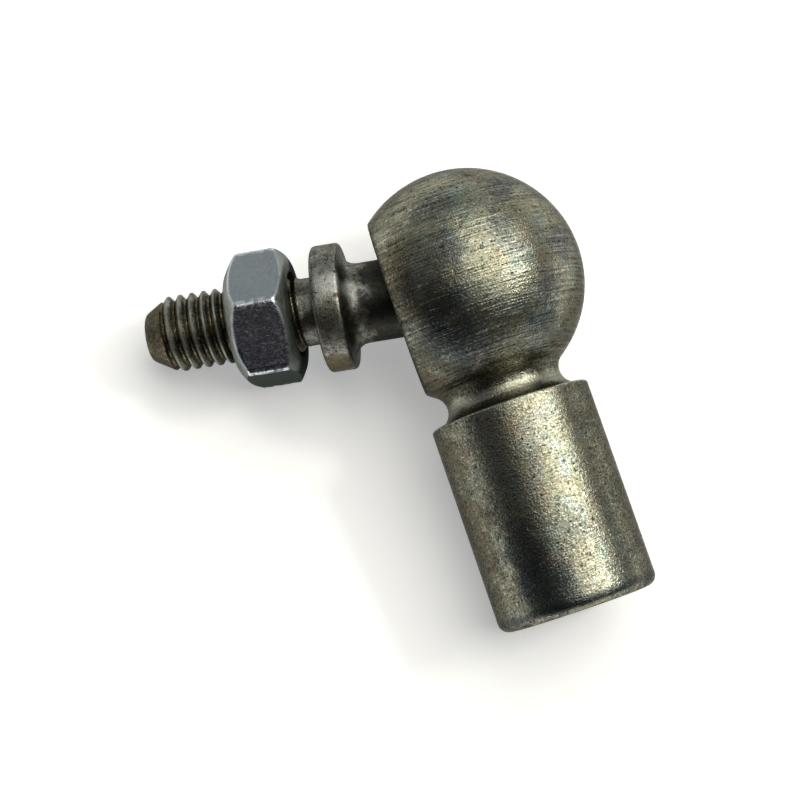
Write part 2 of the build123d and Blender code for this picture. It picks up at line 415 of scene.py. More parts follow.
def makeNut(material):
    s = nutSizes
    bm = bmesh.new()
    end = s["start"] + s["height"]
    middle = s["start"] + s["height"] / 2
    sides = turnProfile(bm, [
        ("to", s["countersink"], s["start"]),
        ("to", s["faceRound"], s["start"]),
        ("to", s["faceRound"], end),
        ("to", s["countersink"], end),
    ], s["steps"], s["longest"])
    # The turned blank's side grows out to six flats, with both ends chamfered
    for vert in sides:
        radius = hypot(vert.co.x, vert.co.y)
        if radius < s["faceRound"] - meshSizes["onPlane"]:
            continue
        around = atan2(vert.co.y, vert.co.x)
        fromCorner = (around - radians(s["turn"]) + pi / 6) % (pi / 3) - pi / 6
        toFlat = pi / 6 - abs(fromCorner)
        ownFlat = s["flatRound"] / cos(toFlat)
        nextFlat = s["flatRound"] / cos(pi / 3 - toFlat)
        side = easedMin(ownFlat, nextFlat, s["cornerEase"])
        rise = max(s["height"] / 2 - abs(vert.co.z - middle), 0)
        which = int(vert.co.z > middle)
        cornerShare = (1 - abs(fromCorner) / (pi / 6)) ** s["cornerSpread"]
        cut = s["flatCut"][which] + s["cornerCut"][which] * cornerShare
        worn = s["endRound"][which] + (side - s["endRound"][which]) * (rise / cut) ** s["swell"]
        grown = easedMin(side, worn, s["chamferEase"] * min(rise / s["easeRise"], 1) + 1e-6) / radius
        vert.co.x *= grown
        vert.co.y *= grown
    stud = studSizes

    def boreRadius(along, height, around):
        crest = stud["threadRound"] + s["threadGap"]
        root = stud["threadRootRound"] + s["threadGap"]
        thread = root + (crest - root) * (1 - threadDepth(along))
        thread = max(thread, stud["reliefRound"] + s["threadGap"])  # the nut's crests clear the relief
        rise = min(height - s["start"], end - height)
        return max(thread, s["countersink"] - rise)

    grooveAt = (0, 0.09, 0.17, 0.25, 0.33, 0.41, 0.5, 0.59, 0.67, 0.75, 0.83, 0.91, 1)
    # The nut's thread is in step with the stud's, which starts from another height
    shift = (s["start"] - stud["reliefEnd"]) / stud["pitch"] + stud["phase"]
    cutThread(bm, grooveAt, stud["pitch"], s["start"], end, shift % 1, s["boreSteps"], boreRadius)
    for height in (s["start"], end):
        rim = [edge for edge in bm.edges if edge.is_boundary
               and all(abs(vert.co.z - height) < meshSizes["onPlane"] for vert in edge.verts)]
        bmesh.ops.bridge_loops(bm, edges=rim)
    return finishPiece(bm, "hexNut", studFrame, "nut", "hex_nut", material)


def addNode(tree, kind, inputs=None, **settings):
    node = tree.nodes.new("ShaderNode" + kind)
    for key, value in settings.items():
        setattr(node, key, value)
    for key, value in (inputs or {}).items():
        if isinstance(value, bpy.types.NodeSocket):
            tree.links.new(value, node.inputs[key])
        else:
            node.inputs[key].default_value = value
    return node


def calc(tree, operation, first, second=0.0, third=0.0, clamp=False):
    inputs = {0: first, 1: second, 2: third}
    return addNode(tree, "Math", inputs, operation=operation, use_clamp=clamp).outputs[0]


def times(tree, first, second):
    return calc(tree, "MULTIPLY", first, second)


def timesPlus(tree, first, second, third):
    return calc(tree, "MULTIPLY_ADD", first, second, third)


def highest(tree, *values):
    result = values[0]
    for value in values[1:]:
        result = calc(tree, "MAXIMUM", result, value)
    return result


def stepped(tree, value, low, high):  # smooth step from 0 at one level to 1 at another
    return addNode(tree, "MapRange", {"Value": value, "From Min": low, "From Max": high},
                   interpolation_type="SMOOTHSTEP").outputs["Result"]


def ranged(tree, value, low, high, toLow=0.0, toHigh=1.0):  # the same in a straight line
    return addNode(tree, "MapRange", {"Value": value, "From Min": low, "From Max": high, "To Min": toLow,
                                      "To Max": toHigh}).outputs["Result"]


def blended(tree, amount, first, second):
    if not isinstance(first, bpy.types.NodeSocket):
        first = (*first, 1)
    if not isinstance(second, bpy.types.NodeSocket):
        second = (*second, 1)
    return addNode(tree, "Mix", {0: amount, 6: first, 7: second}, data_type="RGBA").outputs[2]


def tinted(tree, colour, tone, mask, share):  # lays part of a tone over a colour, where the mask is
    return blended(tree, times(tree, mask, share), colour, tone)


def between(tree, amount, first, second):
    return addNode(tree, "Mix", {0: amount, 2: first, 3: second}).outputs[0]


def dotWith(tree, vector, direction):
    return addNode(tree, "VectorMath", {0: vector, 1: direction}, operation="DOT_PRODUCT").outputs["Value"]


def splitUp(tree, vector):
    return addNode(tree, "SeparateXYZ", {0: vector}).outputs


def fromAxis(tree, parts):  # distance from the turning axis
    squares = calc(tree, "ADD", calc(tree, "POWER", parts[0], 2.0), calc(tree, "POWER", parts[1], 2.0))
    return calc(tree, "SQRT", squares)


def noiseOf(tree, vector, scale, detail=2.0, roughness=0.5, distortion=0.0):
    return addNode(tree, "TexNoise", {"Vector": vector, "Scale": scale, "Detail": detail,
                                      "Roughness": roughness, "Distortion": distortion}).outputs["Fac"]


def spread(tree, vector, across, along):  # stretches a pattern round the turning axis or along it
    scale = addNode(tree, "CombineXYZ", {"X": across, "Y": across, "Z": along}).outputs[0]
    return addNode(tree, "VectorMath", {0: vector, 1: scale}, operation="MULTIPLY").outputs[0]


def newGroup(name, values, results):
    tree = bpy.data.node_groups.new(name, "ShaderNodeTree")
    tree.interface.new_socket("Vector", in_out="INPUT", socket_type="NodeSocketVector")
    for label, value in values.items():
        kind = "NodeSocketVector" if isinstance(value, tuple) else "NodeSocketFloat"
        tree.interface.new_socket(label, in_out="INPUT", socket_type=kind).default_value = value
    for label in results:
        tree.interface.new_socket(label, in_out="OUTPUT", socket_type="NodeSocketFloat")
    return tree, tree.nodes.new("NodeGroupInput").outputs, tree.nodes.new("NodeGroupOutput").inputs


def useGroup(tree, group, inputs):
    node = tree.nodes.new("ShaderNodeGroup")
    node.node_tree = group
    for key, value in inputs.items():
        if isinstance(value, bpy.types.NodeSocket):
            tree.links.new(value, node.inputs[key])
        else:
            node.inputs[key].default_value = value
    return node.outputs


def metalGrainGroup():  # etched light and dark grain, two sizes together
    tree, given, result = newGroup("metalGrain", {"Fine": 7.0, "Coarse": 2.4, "Coarse share": 0.35}, ["Grain"])
    fine = noiseOf(tree, given["Vector"], given["Fine"], 2, 0.65)
    coarse = noiseOf(tree, given["Vector"], given["Coarse"], 4, 0.6)
    both = timesPlus(tree, calc(tree, "SUBTRACT", coarse, fine), given["Coarse share"], fine)
    tree.links.new(ranged(tree, both, 0.33, 0.67), result["Grain"])
    return tree


def turningLinesGroup():  # feed marks left round an axis by the lathe, and a few deeper ones
    tree, given, result = newGroup("turningLines", {"Across": 0.25, "Along": 5.0, "Deep along": 1.6},
                                   ["Lines", "Deep"])
    close = noiseOf(tree, spread(tree, given["Vector"], given["Across"], given["Along"]), 1.0, 3, 0.7)
    wide = noiseOf(tree, spread(tree, given["Vector"], 0.09, given["Deep along"]), 1.0, 5, 0.75)
    tree.links.new(ranged(tree, close, 0.32, 0.68), result["Lines"])
    tree.links.new(stepped(tree, wide, 0.60, 0.68), result["Deep"])
    return tree


def stainsGroup():  # cloudy patches of a stain, and a slow drift for the hue of a film
    tree, given, result = newGroup("stains", {"Size": 0.25, "From": 0.5, "To": 0.62}, ["Mask", "Drift"])
    cloud = noiseOf(tree, given["Vector"], given["Size"], 5, 0.6, 0.4)
    tree.links.new(stepped(tree, cloud, given["From"], given["To"]), result["Mask"])
    moved = addNode(tree, "VectorMath", {0: given["Vector"], 1: (31.0, 17.0, 5.0)}, operation="ADD").outputs[0]
    drift = noiseOf(tree, moved, times(tree, given["Size"], 1.5), 3, 0.6)
    tree.links.new(stepped(tree, drift, 0.38, 0.62), result["Drift"])
    return tree


def frayed(tree, given, away, scale, detail):  # breaks up a mask's outline, which lies where away is 1
    ragged = calc(tree, "SUBTRACT", noiseOf(tree, given["Vector"], scale, detail, 0.6), 0.5)
    return timesPlus(tree, ragged, times(tree, given["Raggedness"], 4.0), away)


def placedSpotGroup():  # one patch round a chosen point, with a broken outline
    tree, given, result = newGroup("placedSpot", {"Centre": (0.0, 0.0, 0.0), "Reach": 3.0, "Raggedness": 0.5},
                                   ["Mask"])
    away = addNode(tree, "VectorMath", {0: given["Vector"], 1: given["Centre"]}, operation="DISTANCE")
    away = calc(tree, "DIVIDE", away.outputs["Value"], given["Reach"])
    tree.links.new(stepped(tree, frayed(tree, given, away, 0.5, 5), 1.0, 0.35), result["Mask"])
    return tree


def edgeRingGroup():  # a band along a turned edge, given by its radius and its place on the axis: wear, stains and one painted highlight
    tree, given, result = newGroup("edgeRing", {"Round": 8.0, "Place": 0.0, "Width": 0.3, "Raggedness": 0.6},
                                   ["Mask"])
    parts = splitUp(tree, given["Vector"])
    outBy = calc(tree, "POWER", calc(tree, "SUBTRACT", fromAxis(tree, parts), given["Round"]), 2.0)
    alongBy = calc(tree, "POWER", calc(tree, "SUBTRACT", parts[2], given["Place"]), 2.0)
    away = calc(tree, "DIVIDE", calc(tree, "SQRT", calc(tree, "ADD", outBy, alongBy)), given["Width"])
    tree.links.new(stepped(tree, frayed(tree, given, away, 2.2, 4), 1.0, 0.4), result["Mask"])
    return tree


def fineScratchesGroup():  # short bright scratches, mostly along the axis
    tree, given, result = newGroup("fineScratches", {"Across": 3.0, "Along": 0.22, "Amount": 0.5}, ["Mask"])
    lines = noiseOf(tree, spread(tree, given["Vector"], given["Across"], given["Along"]), 1.0, 1, 0.5, 0.3)
    ridge = stepped(tree, calc(tree, "ABSOLUTE", calc(tree, "SUBTRACT", lines, 0.5)), 0.014, 0.002)
    where = noiseOf(tree, given["Vector"], 0.55, 3, 0.6)
    least = calc(tree, "SUBTRACT", 0.75, times(tree, given["Amount"], 0.3))
    patches = stepped(tree, where, least, calc(tree, "ADD", least, 0.06))
    tree.links.new(times(tree, ridge, patches), result["Mask"])
    return tree


def smallPitsGroup():  # round pits, only in some of the cells
    tree, given, result = newGroup("smallPits", {"Count": 1.2, "Size": 0.16, "Amount": 0.3}, ["Mask"])
    cells = addNode(tree, "TexVoronoi", {"Vector": given["Vector"], "Scale": given["Count"]}).outputs
    pit = stepped(tree, cells["Distance"], given["Size"], times(tree, given["Size"], 0.5))
    chance = addNode(tree, "SeparateColor", {0: cells["Color"]}).outputs[0]
    chosen = calc(tree, "LESS_THAN", chance, given["Amount"])
    tree.links.new(times(tree, pit, chosen), result["Mask"])
    return tree


metalGrain = metalGrainGroup()
turningLines = turningLinesGroup()
stains = stainsGroup()
placedSpot = placedSpotGroup()
edgeRing = edgeRingGroup()
fineScratches = fineScratchesGroup()
smallPits = smallPitsGroup()
print("finish groups built")


def newMetal(name, place, edgeTint=None):
    # A metal with its pattern in the piece's own millimetres, with Z along the turning axis
    material = bpy.data.materials.new(name)
    material.use_nodes = True
    tree = material.node_tree
    shader = tree.nodes["Principled BSDF"]
    shader.inputs["Metallic"].default_value = 1
    if edgeTint:
        shader.inputs["Specular Tint"].default_value = (*edgeTint, 1)
    where = addNode(tree, "TexCoord").outputs["Object"]
    local = addNode(tree, "Mapping", {"Vector": where, "Location": place.to_translation(),
                                      "Rotation": place.to_euler(), "Scale": (mm, mm, mm)},
                    vector_type="TEXTURE")
    return material, tree, shader, local.outputs[0]


def finishMetal(tree, shader, colour, rough, height, bumpHeight):
    bump = addNode(tree, "Bump", {"Height": height, "Strength": 1.0, "Distance": bumpHeight})
    tree.links.new(colour, shader.inputs["Base Color"])
    tree.links.new(rough, shader.inputs["Roughness"])
    tree.links.new(bump.outputs[0], shader.inputs["Normal"])


zincFinish = {
    "oliveFilm": (0.273, 0.270, 0.200),
    "brownFilm": (0.246, 0.213, 0.140),
    "greenGreyFilm": (0.219, 0.259, 0.223),
    "rosyFilm": (0.286, 0.246, 0.239),
    "paleWornAndHighlight": (0.532, 0.532, 0.432),
    "darkSpeck": (0.029, 0.031, 0.027),
    "blueBlackStain": (0.060, 0.073, 0.080),
    "purpleGreyStain": (0.113, 0.106, 0.120),
    "brownDirt": (0.126, 0.096, 0.060),
    "grease": (0.021, 0.020, 0.016),
    # dark tone of the painted shade on the sides and on the side the part lies on
    "paintedSideShadeTone": (0.100, 0.093, 0.069),
    "edgeTint": (0.42, 0.42, 0.42),
    "rough": 0.38,
    "smooth": 0.16,
    "bumpHeight": 2e-5,
    "grain": {"Fine": 4.8, "Coarse": 1.9, "Coarse share": 0.3},
    "headLines": {"Across": 0.16, "Along": 4.8, "Deep along": 1.7},
    "shankLines": {"Across": 1.3, "Along": 6.0, "Deep along": 2.0},
    "clouds": {"Size": 0.22, "From": 0.50, "To": 0.66},
    "hues": {"Size": 0.4, "From": 0.52, "To": 0.62},
    "scratches": {"Across": 2.6, "Along": 0.25, "Amount": 0.6},
    "pits": {"Count": 0.9, "Size": 0.17, "Amount": 0.16},
    # Where a mask starts and where it is full: places are in millimetres, the rest are shares
    "headEnd": (12.9, 12.2),
    "paintedSideShadeFrom": (0.72, 0.38),
    "shankUp": (0, -0.8, 0),
    "darkPattern": (0.47, 0.16),
    "palePattern": (0.53, 0.88),
    "cupSide": (11.6, 11.2),
    "mouthBack": (-9.0, -8.8),
    "greaseEnd": (10.5, 10.2),
    # Tone, share, then the centre and reach of each stain
    "placedSpots": [
        ("blueBlackStain", 0.7, [((3.3, -9.4, 6.8), 4.6), ((3.4, -11.1, 2.8), 3.4), ((3.4, -7.6, 27.5), 3.6),
                                 ((5.4, -8.5, 6.4), 3.8), ((3.2, -8.9, 7.6), 3.6), ((0.8, -11.8, -2.0), 2.8),
                                 ((3.0, -7.8, 31.8), 4.4), ((-5.6, -7.2, 7.8), 3.6)]),
        ("purpleGreyStain", 0.7, [((-6.1, -7.8, -7.0), 2.8), ((-10.1, -6.7, -0.2), 2.6)]),
        ("brownDirt", 0.6, [((6.2, -9.9, -3.2), 3.6), ((6.5, -10.1, 0.6), 3.2), ((6.9, -4.3, 9.0), 3.6),
                            ((6.8, -4.9, 16.5), 3.2), ((7.5, -3.7, 24.0), 4.6)]),
    ],
    # Tone, share, radius, place on the axis and width: the groove, whose pale ring is a painted highlight, the
    # shank's upper rim and its lower end
    "shankRings": [("paleWornAndHighlight", 0.45, 6.2, 12.1, 1.1), ("paleWornAndHighlight", 0.7, 8.3, 13.3, 0.22),
                   ("blueBlackStain", 0.7, 8.3, 34.0, 0.5)],
    "mouthRings": [("darkSpeck", 0.75, 9.3, 7.6, 0.4)],
}


def makeZinc():
    f = zincFinish
    material, tree, shader, local = newMetal("wornYellowZinc", socketFrame, f["edgeTint"])
    grain = useGroup(tree, metalGrain, {"Vector": local, **f["grain"]})["Grain"]
    lines = useGroup(tree, turningLines, {"Vector": local, **f["headLines"]})
    shortLines = useGroup(tree, turningLines, {"Vector": local, **f["shankLines"]})
    clouds = useGroup(tree, stains, {"Vector": local, **f["clouds"]})
    hues = useGroup(tree, stains, {"Vector": local, **f["hues"]})
    parts = splitUp(tree, local)
    onHead = stepped(tree, parts[2], *f["headEnd"])
    # The film drifts between olive, brown and green grey, with a little rose in places
    colour = blended(tree, clouds["Drift"], f["oliveFilm"], f["greenGreyFilm"])
    colour = tinted(tree, colour, f["brownFilm"], hues["Drift"], 0.55)
    colour = tinted(tree, colour, f["rosyFilm"], hues["Mask"], 0.35)
    colour = tinted(tree, colour, f["blueBlackStain"], clouds["Mask"], 0.6)
    stained = 0.0
    for tone, share, spots in f["placedSpots"]:
        for centre, reach in spots:
            mask = useGroup(tree, placedSpot, {"Vector": local, "Centre": centre, "Reach": reach})["Mask"]
            stained = highest(tree, stained, mask)
            colour = tinted(tree, colour, f[tone], mask, share)
    # Painted shade: the sides, and the side that the part lies on, are darkened by how little they face up in the
    # pose, with a ragged edge
    up = (socketFrame.to_3x3().transposed() @ Vector((0, 0, 1))).normalized()
    onBall = dotWith(tree, local, up / socketSizes["headRound"])
    onShank = calc(tree, "DIVIDE", dotWith(tree, local, f["shankUp"]), fromAxis(tree, parts))
    facingUp = between(tree, onHead, onShank, onBall)
    ragged = calc(tree, "SUBTRACT", noiseOf(tree, local, 0.5, 4, 0.6), 0.5)
    paintedSideShade = stepped(tree, timesPlus(tree, ragged, 0.5, facingUp), *f["paintedSideShadeFrom"])
    colour = tinted(tree, colour, f["paintedSideShadeTone"], paintedSideShade, 0.8)
    # Grain and lathe lines, sharper on the head than on the shank
    lineValue = between(tree, onHead, shortLines["Lines"], lines["Lines"])
    lineShare = timesPlus(tree, onHead, 0.10, 0.33)
    pattern = timesPlus(tree, calc(tree, "SUBTRACT", lineValue, grain), lineShare, grain)
    colour = blended(tree, stepped(tree, pattern, *f["darkPattern"]), colour, f["darkSpeck"])
    pale = times(tree, stepped(tree, pattern, *f["palePattern"]), timesPlus(tree, paintedSideShade, -0.6, 0.9))
    pale = times(tree, pale, timesPlus(tree, stained, -0.45, 1.0))
    colour = blended(tree, pale, colour, f["paleWornAndHighlight"])
    deep = times(tree, times(tree, lines["Deep"], onHead), 0.6)
    colour = blended(tree, deep, colour, f["darkSpeck"])
    # Worn edges, a painted highlight ring in the groove, and grease on the mouth's face
    turned = addNode(tree, "Mapping", {"Vector": local, "Rotation": (0, radians(-90), 0)}).outputs[0]
    for where, rings in ((local, f["shankRings"]), (turned, f["mouthRings"])):
        for tone, share, radius, place, width in rings:
            ring = {"Vector": where, "Round": radius, "Place": place, "Width": width}
            colour = tinted(tree, colour, f[tone], useGroup(tree, edgeRing, ring)["Mask"], share)
    fromCentre = addNode(tree, "VectorMath", {0: local}, operation="LENGTH").outputs["Value"]
    mouthFace = times(tree, stepped(tree, fromCentre, *f["cupSide"]), stepped(tree, parts[0], *f["mouthBack"]))
    colour = tinted(tree, colour, f["grease"], mouthFace, stepped(tree, parts[2], *f["greaseEnd"]))
    scratches = useGroup(tree, fineScratches, {"Vector": local, **f["scratches"]})
    colour = tinted(tree, colour, f["paleWornAndHighlight"], scratches["Mask"], 0.6)
    pits = useGroup(tree, smallPits, {"Vector": local, **f["pits"]})["Mask"]
    colour = tinted(tree, colour, f["darkSpeck"], pits, 0.8)
    rough = ranged(tree, pattern, 0.2, 0.8, f["rough"], f["smooth"])
    rough = timesPlus(tree, clouds["Mask"], 0.05, rough)
    height = timesPlus(tree, lineValue, timesPlus(tree, onHead, 0.3, 0.7), grain)
    height = timesPlus(tree, calc(tree, "ADD", pits, deep), -1.5, height)
    finishMetal(tree, shader, colour, rough, height, f["bumpHeight"])
    return material


studFinish = {
    "oliveSteel": (0.160, 0.157, 0.122),
    "greySteel": (0.306, 0.309, 0.286),
    "blackOilAndShade": (0.029, 0.029, 0.024),
    "goldRoot": (0.226, 0.180, 0.086),
    "brownTip": (0.069, 0.063, 0.049),
    "paintedOchreReflection": (0.140, 0.114, 0.067),
    "rust": (0.113, 0.064, 0.043),
    "paleSpeckAndHighlight": (0.559, 0.565, 0.545),
    "edgeTint": (0.45, 0.45, 0.45),
    "roughness": 0.40,
    "bumpHeight": 1.3e-5,
    "grain": {"Fine": 6.5, "Coarse": 2.0, "Coarse share": 0.45},
    "lines": {"Across": 0.8, "Along": 5.5, "Deep along": 2.0},
    "clouds": {"Size": 0.4, "From": 0.48, "To": 0.62},
    "pits": {"Count": 1.3, "Size": 0.2, "Amount": 0.3},
    # Where a mask starts and where it is full: places are in millimetres, the rest are shares
    "threadStart": (16.9, 17.6),
    "rootRound": (3.86, 3.6),
    "crestRound": (3.9, 3.98),
    "tipStart": (31.4, 32.2),
    "nearBall": (10.4, 9.2),
    "lowSide": (1.0, -1.5),
    "slimRound": (5.4, 4.9),
    "reliefStart": (14.9, 15.3),
    "reliefEnd": (17.6, 17.0),
    # Tone, share, where in the grain it shows, then the centre and reach of each spot
    "placedSpots": [
        # The ochre patch on the collar's low side is a painted reflection of a warm floor
        ("paintedOchreReflection", 0.8, (0.15, 0.5), [((1.7, -6.4, 13.6), 2.4), ((1.0, -6.5, 14.8), 1.8)]),
        # The pale spots on the collar and the neck are painted highlights
        ("paleSpeckAndHighlight", 0.75, (-0.2, 0.6), [((6.5, 0.7, 13.0), 2.1), ((5.0, 0.3, 11.6), 1.5),
                                          ((4.1, -0.2, 10.5), 1.2)]),
        ("rust", 0.95, None, [((6.33, 1.87, 12.72), 0.36), ((6.58, -0.75, 12.78), 0.42)]),
    ],
    "raggedness": 0.35,
}


def makeStudSteel():
    f = studFinish
    material, tree, shader, local = newMetal("dullStudSteel", studFrame, f["edgeTint"])
    grain = useGroup(tree, metalGrain, {"Vector": local, **f["grain"]})["Grain"]
    lines = useGroup(tree, turningLines, {"Vector": local, **f["lines"]})["Lines"]
    clouds = useGroup(tree, stains, {"Vector": local, **f["clouds"]})
    parts = splitUp(tree, local)
    out = fromAxis(tree, parts)
    colour = blended(tree, times(tree, clouds["Drift"], 0.7), f["oliveSteel"], f["greySteel"])
    colour = blended(tree, stepped(tree, grain, 0.52, 0.14), colour, f["blackOilAndShade"])
    colour = tinted(tree, colour, f["paleSpeckAndHighlight"], stepped(tree, grain, 0.6, 1.0), 0.6)
    # Dark oil with a gold film stays in the thread's roots, and its crests are worn to grey
    onThread = stepped(tree, parts[2], *f["threadStart"])
    root = times(tree, stepped(tree, out, *f["rootRound"]), onThread)
    oily = blended(tree, stepped(tree, grain, 0.35, 0.8), f["blackOilAndShade"], f["goldRoot"])
    colour = tinted(tree, colour, oily, root, 0.85)
    crest = times(tree, stepped(tree, out, *f["crestRound"]), onThread)
    colour = tinted(tree, colour, f["greySteel"], crest, timesPlus(tree, clouds["Mask"], -0.5, 0.8))
    tip = stepped(tree, parts[2], *f["tipStart"])
    colour = tinted(tree, colour, f["brownTip"], tip, timesPlus(tree, grain, -0.5, 0.95))
    paintedHighlightSpots = 0.0
    for tone, share, grainLevels, spots in f["placedSpots"]:
        for centre, reach in spots:
            mask = useGroup(tree, placedSpot, {"Vector": local, "Centre": centre, "Reach": reach,
                                              "Raggedness": f["raggedness"]})["Mask"]
            # The painted highlight spots are also made rougher
            if tone == "paleSpeckAndHighlight":
                paintedHighlightSpots = highest(tree, paintedHighlightSpots, mask)
            if grainLevels:
                mask = times(tree, mask, stepped(tree, grain, *grainLevels))
            colour = tinted(tree, colour, f[tone], mask, share)
    # Painted shade in the black oil tone: the head's shadow on the neck next to the cup, the low side of the slim
    # parts, and the relief, most on its low side
    nearBall = stepped(tree, timesPlus(tree, clouds["Drift"], -1.2, parts[2]), *f["nearBall"])
    lowSide = stepped(tree, parts[0], *f["lowSide"])
    slimLow = times(tree, times(tree, lowSide, stepped(tree, out, *f["slimRound"])), 0.7)
    relief = times(tree, stepped(tree, parts[2], *f["reliefStart"]), stepped(tree, parts[2], *f["reliefEnd"]))
    relief = times(tree, relief, timesPlus(tree, lowSide, 0.5, 0.35))
    colour = tinted(tree, colour, f["blackOilAndShade"], highest(tree, slimLow, relief, nearBall), 0.9)
    rough = timesPlus(tree, grain, -0.16, f["roughness"] + 0.08)
    rough = timesPlus(tree, root, -0.08, rough)
    rough = timesPlus(tree, paintedHighlightSpots, 0.2, rough)
    pits = useGroup(tree, smallPits, {"Vector": local, **f["pits"]})["Mask"]
    height = timesPlus(tree, lines, 0.8, grain)
    height = timesPlus(tree, pits, -1.6, height)
    finishMetal(tree, shader, colour, rough, height, f["bumpHeight"])
    return material


nutFinish = {
    "silver": (0.492, 0.520, 0.531),
    "coolTint": (0.400, 0.470, 0.505),
    "paleChamfer": (0.333, 0.362, 0.333),
    "purpleWorn": (0.262, 0.264, 0.318),
    "paleFibre": (0.625, 0.605, 0.665),
    "paintedShadeGreen": (0.069, 0.082, 0.074),
    "blueStrip": (0.200, 0.246, 0.299),
    "edge": (0.851, 0.904, 0.931),
    "greyDirt": (0.186, 0.193, 0.186),
    "darkDotAndBoreShade": (0.080, 0.073, 0.067),
    "edgeTint": (0.22, 0.22, 0.22),
    "smooth": 0.25,
    "bumpHeight": 1.1e-5,
    "grain": {"Fine": 5.5, "Coarse": 2.2, "Coarse share": 0.3},
    "rings": {"Across": 0.3, "Along": 5.0, "Deep along": 2.0},
    "clouds": {"Size": 0.35, "From": 0.5, "To": 0.68},
    "dots": {"Count": 1.1, "Size": 0.13, "Amount": 0.5},
    "wornFlat": 5,
    "shadedFlat": 4,
    # Where a mask starts and where it is full: places are in millimetres, the rest are shares
    "flatSkin": (0.16, 0.04),
    "stripSide": (2.95, 3.1),
    "stripTop": (23.2, 23.4),
    "stripTopHalf": (0.2, 1.2),
    "lowSide": (2.4, 0.4),
    "lowEnd": (21.6, 20.6),
    "cornerRound": (7.20, 7.30),
    "boreRound": (4.9, 4.4),
    "fibreLevels": (0.50, 0.74),
}


def makeNutZinc():
    f = nutFinish
    material, tree, shader, local = newMetal("brightZinc", studFrame, f["edgeTint"])
    grain = useGroup(tree, metalGrain, {"Vector": local, **f["grain"]})["Grain"]
    clouds = useGroup(tree, stains, {"Vector": local, **f["clouds"]})
    parts = splitUp(tree, local)
    out = fromAxis(tree, parts)
    colour = blended(tree, times(tree, clouds["Drift"], 0.45), f["silver"], f["coolTint"])
    colour = tinted(tree, colour, f["greyDirt"], clouds["Mask"], 0.2)

    def flatFacing(number):  # the hexagon starts at a corner
        return radians(nutSizes["turn"] + 60 * number + 30)

    def flatMask(number):
        facing = flatFacing(number)
        toward = dotWith(tree, local, (cos(facing), sin(facing), 0))
        return stepped(tree, toward, *[nutSizes["flatRound"] - skin for skin in f["flatSkin"]])

    # The turned ends are duller than the flats, one flat is worn to fibres, and one flat gets painted shade
    flats = [flatMask(number) for number in range(6)]
    turnedPart = calc(tree, "SUBTRACT", 1.0, highest(tree, *flats))
    blotch = stepped(tree, noiseOf(tree, local, 1.6, 4, 0.6), 0.35, 0.65)
    colour = tinted(tree, colour, f["paleChamfer"], turnedPart, timesPlus(tree, blotch, 0.5, 0.45))
    fibres = noiseOf(tree, spread(tree, local, 5.0, 2.6), 1.0, 5, 0.8, 1.0)
    facing = flatFacing(f["wornFlat"])
    aside = dotWith(tree, local, (sin(facing), -cos(facing), 0))
    stripTop = times(tree, stepped(tree, parts[2], *f["stripTop"]), stepped(tree, aside, *f["stripTopHalf"]))
    strip = highest(tree, stepped(tree, aside, *f["stripSide"]), stripTop)
    strip = times(tree, strip, flats[f["wornFlat"]])
    colour = blended(tree, strip, colour, f["blueStrip"])
    worn = calc(tree, "SUBTRACT", flats[f["wornFlat"]], strip)
    colour = tinted(tree, colour, f["purpleWorn"], worn, 0.85)
    fibreMask = times(tree, worn, stepped(tree, fibres, *f["fibreLevels"]))
    colour = blended(tree, fibreMask, colour, f["paleFibre"])
    # Painted shade: the lower flat and the low side of the turned end by the collar are darkened to a dull green,
    # and made rougher
    lowEnd = times(tree, stepped(tree, parts[0], *f["lowSide"]), turnedPart)
    lowEnd = times(tree, lowEnd, stepped(tree, parts[2], *f["lowEnd"]))
    paintedShadeAndDull = calc(tree, "MULTIPLY_ADD", flats[f["shadedFlat"]], 0.88, lowEnd, clamp=True)
    colour = blended(tree, paintedShadeAndDull, colour, f["paintedShadeGreen"])
    colour = tinted(tree, colour, f["greyDirt"], stepped(tree, grain, 0.22, 0.05), 0.4)
    # Light rubbed lines where the flats meet
    corner = stepped(tree, out, *f["cornerRound"])
    patchy = stepped(tree, noiseOf(tree, local, 1.4, 3, 0.6), 0.4, 0.6)
    colour = tinted(tree, colour, f["edge"], corner, patchy)
    colour = tinted(tree, colour, f["greyDirt"], stepped(tree, grain, 0.5, 0.1), 0.16)
    dots = useGroup(tree, smallPits, {"Vector": local, **f["dots"]})["Mask"]
    colour = tinted(tree, colour, f["darkDotAndBoreShade"], dots, 0.8)
    # Painted shade: the bore and the countersink are darkened
    colour = tinted(tree, colour, f["darkDotAndBoreShade"], stepped(tree, out, *f["boreRound"]), 0.9)
    rough = timesPlus(tree, clouds["Mask"], 0.06, f["smooth"])
    for mask, more in ((turnedPart, 0.12), (fibreMask, 0.35), (paintedShadeAndDull, 0.25)):
        rough = timesPlus(tree, mask, more, rough)
    rings = useGroup(tree, turningLines, {"Vector": local, **f["rings"]})["Lines"]
    height = timesPlus(tree, times(tree, rings, turnedPart), 1.0, times(tree, grain, 0.8))
    height = timesPlus(tree, times(tree, fibres, worn), 2.5, height)
    height = timesPlus(tree, times(tree, blotch, turnedPart), 2.0, height)
    height = timesPlus(tree, dots, -1.5, height)
    finishMetal(tree, shader, colour, rough, height, f["bumpHeight"])
    return material


wireFinish = {
    "steel": (0.306, 0.299, 0.279),
    "dark": (0.106, 0.104, 0.093),
    "roughness": 0.34,
    "bumpHeight": 5e-6,
    "grain": {"Fine": 6.0, "Coarse": 2.0, "Coarse share": 0.4},
}


